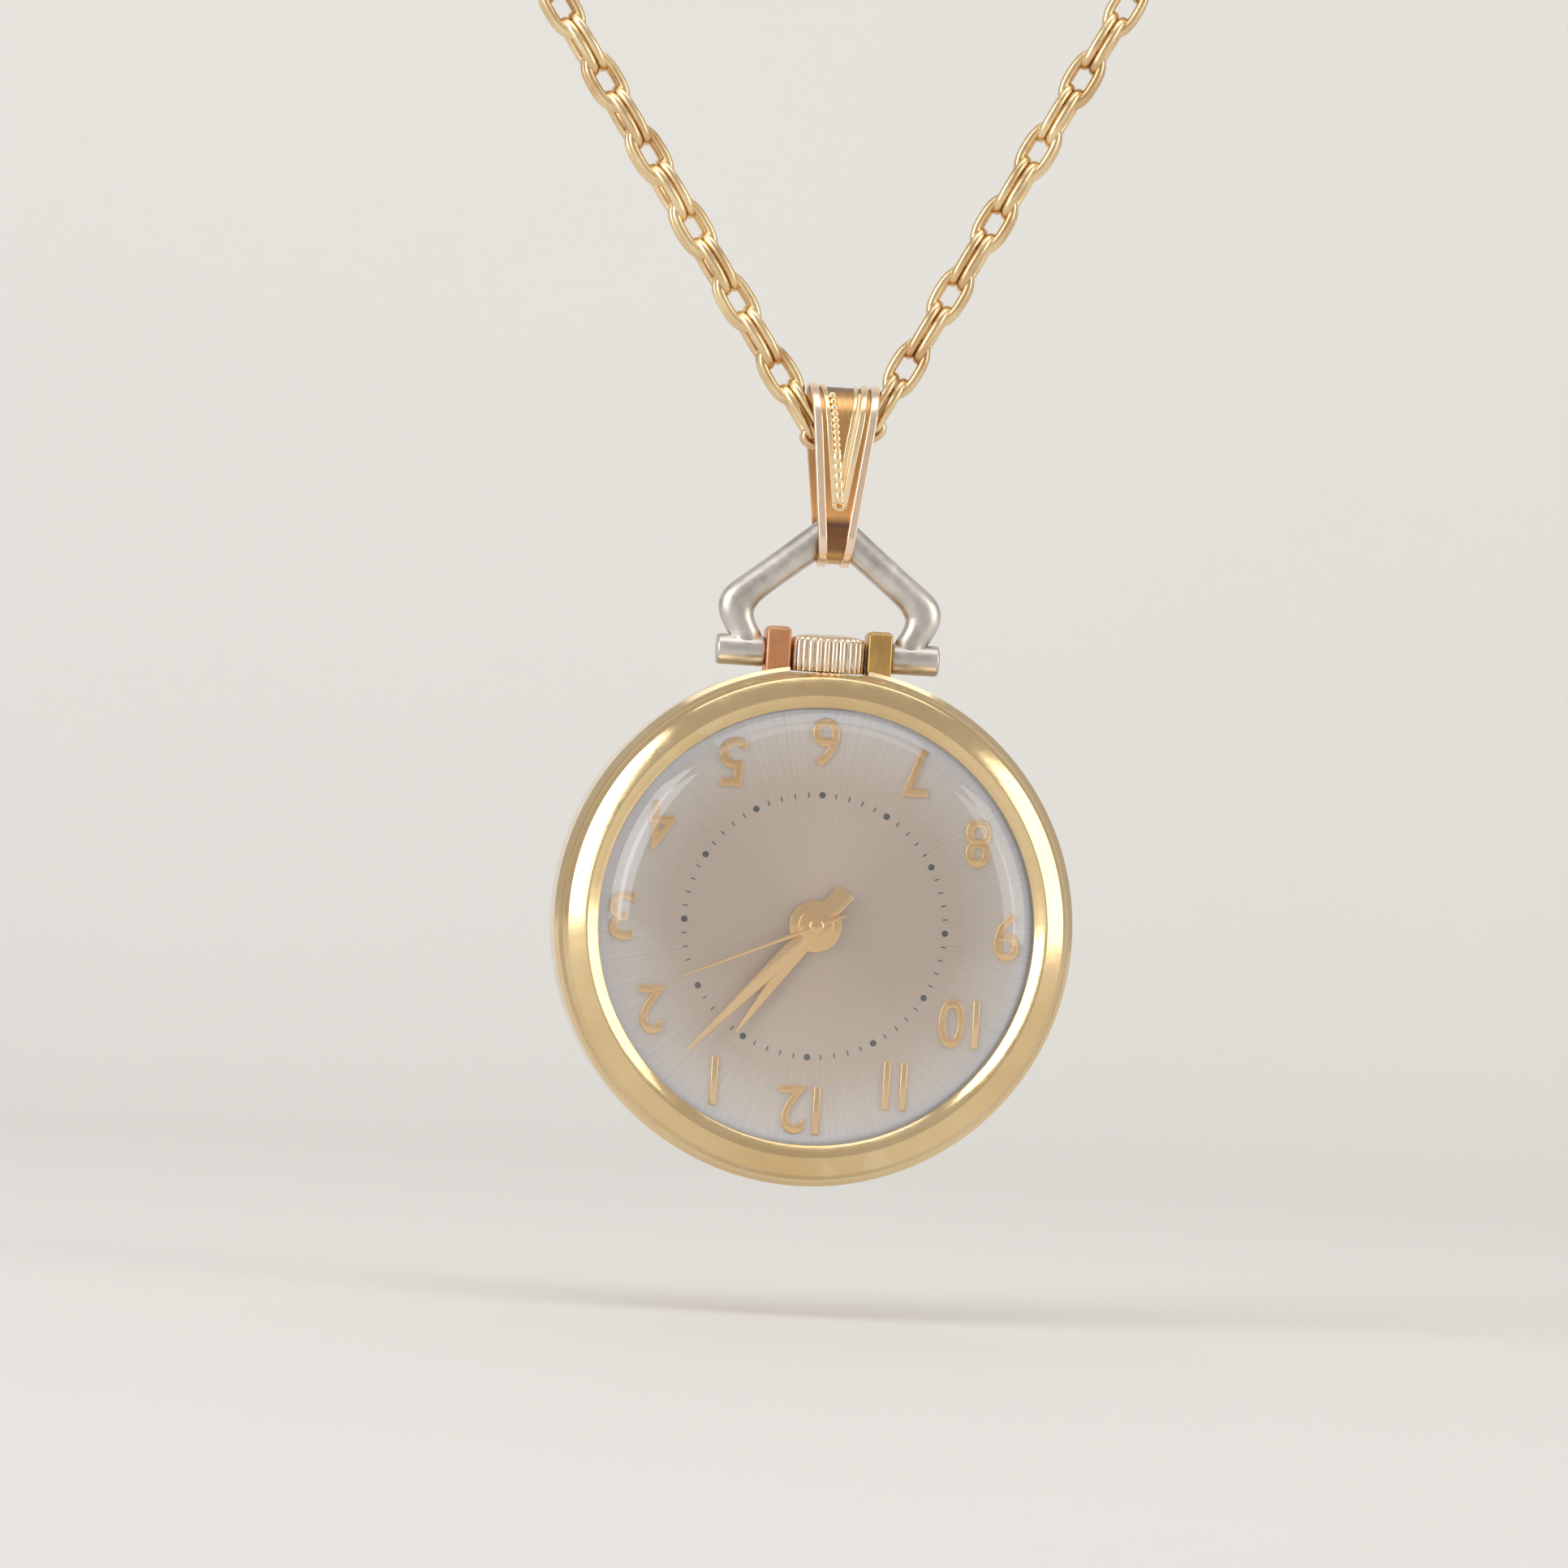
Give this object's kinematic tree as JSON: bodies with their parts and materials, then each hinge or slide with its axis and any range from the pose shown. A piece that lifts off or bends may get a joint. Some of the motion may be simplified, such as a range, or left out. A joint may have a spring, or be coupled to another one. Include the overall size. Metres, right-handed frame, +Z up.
{
  "type": "pendant watch",
  "caption": "Round open-face pendant watch on a tapered bail and pointed bow, hung from a V of double-link chain, with a winding crown at the top and the dial upside down.",
  "frame": {"origin": "centre of the round hole in the left chain end tag", "axes": "+Z up along the hanging watch, -Y out of the dial's front, +X to the right as seen from the front"},
  "size_m": [0.0474, 0.0093, 0.0829],
  "materials": {
    "case_gold": "polished gold plate",
    "chain_gold": "polished gold fill",
    "crystal_glass": "clear, flat top with a bevelled edge",
    "bow_nickel": "satin grey nickel, worn",
    "crown_plate": "pale rosy gold plate",
    "dial_silver": "silver-white satin",
    "numeral_gold": "raised gilt",
    "hand_gold": "polished gilt",
    "plate_nickel": "satin nickel",
    "wheel_brass": "satin gilt",
    "work_steel": "polished steel"
  },
  "bodies": {
    "chain": {"saddle_links": "chain_gold", "left_strand": "chain_gold", "right_strand": "chain_gold", "left_tag": "chain_gold", "right_tag": "chain_gold"},
    "bail": {"bail": "chain_gold"},
    "bow": {"bow": "bow_nickel"},
    "case": {"case_middle": "case_gold", "bezel": "case_gold", "crystal": "crystal_glass", "case_back": "case_gold", "bow_pins": "work_steel", "dial": "dial_silver", "numerals": "numeral_gold", "main_plate": "plate_nickel", "barrel_bridge": "plate_nickel", "train_bridge": "plate_nickel", "balance_cock": "plate_nickel", "hairspring": "work_steel"},
    "winder": {"winding_pinion": "work_steel", "clutch": "work_steel"},
    "crown": {"crown": "crown_plate", "stem": "work_steel"},
    "crown_wheel": {"crown_wheel": "work_steel"},
    "ratchet": {"ratchet_wheel": "work_steel", "barrel_arbor": "work_steel"},
    "click": {"click": "work_steel"},
    "minute_train": {"centre_wheel": "wheel_brass", "cannon_pinion": "work_steel", "minute_hand": "hand_gold"},
    "minute_wheel": {"minute_wheel": "wheel_brass"},
    "hour_train": {"hour_wheel": "wheel_brass", "hour_hand": "hand_gold"},
    "barrel": {"mainspring_barrel": "wheel_brass"},
    "third": {"third_wheel": "wheel_brass"},
    "seconds_train": {"fourth_wheel": "wheel_brass", "second_hand": "hand_gold"},
    "escape": {"escape_wheel": "work_steel"},
    "fork": {"pallet_fork": "work_steel"},
    "balance": {"balance_wheel": "wheel_brass"}
  },
  "joints": [
    {"name": "bail_swing", "type": "hinge", "parent": "chain", "child": "bail", "pos_m": [0.02328, 0, -0.03156], "axis": [1, 0, 0], "range_deg": [-50, 50]},
    {"name": "bow_swing", "type": "hinge", "parent": "bail", "child": "bow", "pos_m": [0.02328, 0, -0.03796], "axis": [1, 0, 0], "range_deg": [-40, 40]},
    {"name": "case_swing", "type": "hinge", "parent": "bow", "child": "case", "pos_m": [0.02328, 0, -0.04531], "axis": [1, 0, 0], "range_deg": [-90, 90]},
    {"name": "winding_turn", "type": "hinge", "parent": "case", "child": "winder", "pos_m": [0.02328, 0, -0.05201], "axis": [0, 0, 1], "continuous": true},
    {"name": "crown_pull", "type": "slide", "parent": "winder", "child": "crown", "axis": [0, 0, 1], "range_m": [0, 0.0007]},
    {"name": "crown_wheel_turn", "type": "hinge", "parent": "case", "child": "crown_wheel", "pos_m": [0.02328, 0, -0.05583], "axis": [0, 1, 0], "continuous": true},
    {"name": "ratchet_turn", "type": "hinge", "parent": "case", "child": "ratchet", "pos_m": [0.01708, 0, -0.05975], "axis": [0, 1, 0], "continuous": true},
    {"name": "click_rock", "type": "hinge", "parent": "case", "child": "click", "pos_m": [0.01384, 0, -0.06126], "axis": [0, 1, 0], "range_deg": [-5, 5]},
    {"name": "minute_turn", "type": "hinge", "parent": "case", "child": "minute_train", "pos_m": [0.02328, 0, -0.06201], "axis": [0, 1, 0], "continuous": true},
    {"name": "minute_wheel_turn", "type": "hinge", "parent": "case", "child": "minute_wheel", "pos_m": [0.02328, 0, -0.05882], "axis": [0, 1, 0], "continuous": true},
    {"name": "hour_turn", "type": "hinge", "parent": "case", "child": "hour_train", "pos_m": [0.02328, 0, -0.06201], "axis": [0, 1, 0], "continuous": true},
    {"name": "barrel_turn", "type": "hinge", "parent": "case", "child": "barrel", "pos_m": [0.01708, 0, -0.05975], "axis": [0, 1, 0], "continuous": true},
    {"name": "third_turn", "type": "hinge", "parent": "case", "child": "third", "pos_m": [0.02643, 0, -0.06422], "axis": [0, 1, 0], "continuous": true},
    {"name": "seconds_turn", "type": "hinge", "parent": "case", "child": "seconds_train", "pos_m": [0.02328, 0, -0.06201], "axis": [0, 1, 0], "continuous": true},
    {"name": "escape_turn", "type": "hinge", "parent": "case", "child": "escape", "pos_m": [0.02228, 0, -0.06573], "axis": [0, 1, 0], "continuous": true},
    {"name": "fork_rock", "type": "hinge", "parent": "case", "child": "fork", "pos_m": [0.02351, 0, -0.06785], "axis": [0, 1, 0], "range_deg": [-5, 5]},
    {"name": "balance_swing", "type": "hinge", "parent": "case", "child": "balance", "pos_m": [0.02521, 0, -0.07079], "axis": [0, 1, 0], "range_deg": [-270, 270]}
  ],
  "couplings": [
    {"joint": "crown_wheel_turn", "follows": "winding_turn", "ratio": -0.30233},
    {"joint": "ratchet_turn", "follows": "winding_turn", "ratio": 0.43333},
    {"joint": "minute_wheel_turn", "follows": "minute_turn", "ratio": -0.33333},
    {"joint": "hour_turn", "follows": "minute_turn", "ratio": 0.083333},
    {"joint": "barrel_turn", "follows": "minute_turn", "ratio": -0.16667},
    {"joint": "third_turn", "follows": "minute_turn", "ratio": -8},
    {"joint": "seconds_turn", "follows": "minute_turn", "ratio": 60},
    {"joint": "escape_turn", "follows": "minute_turn", "ratio": -600}
  ]
}
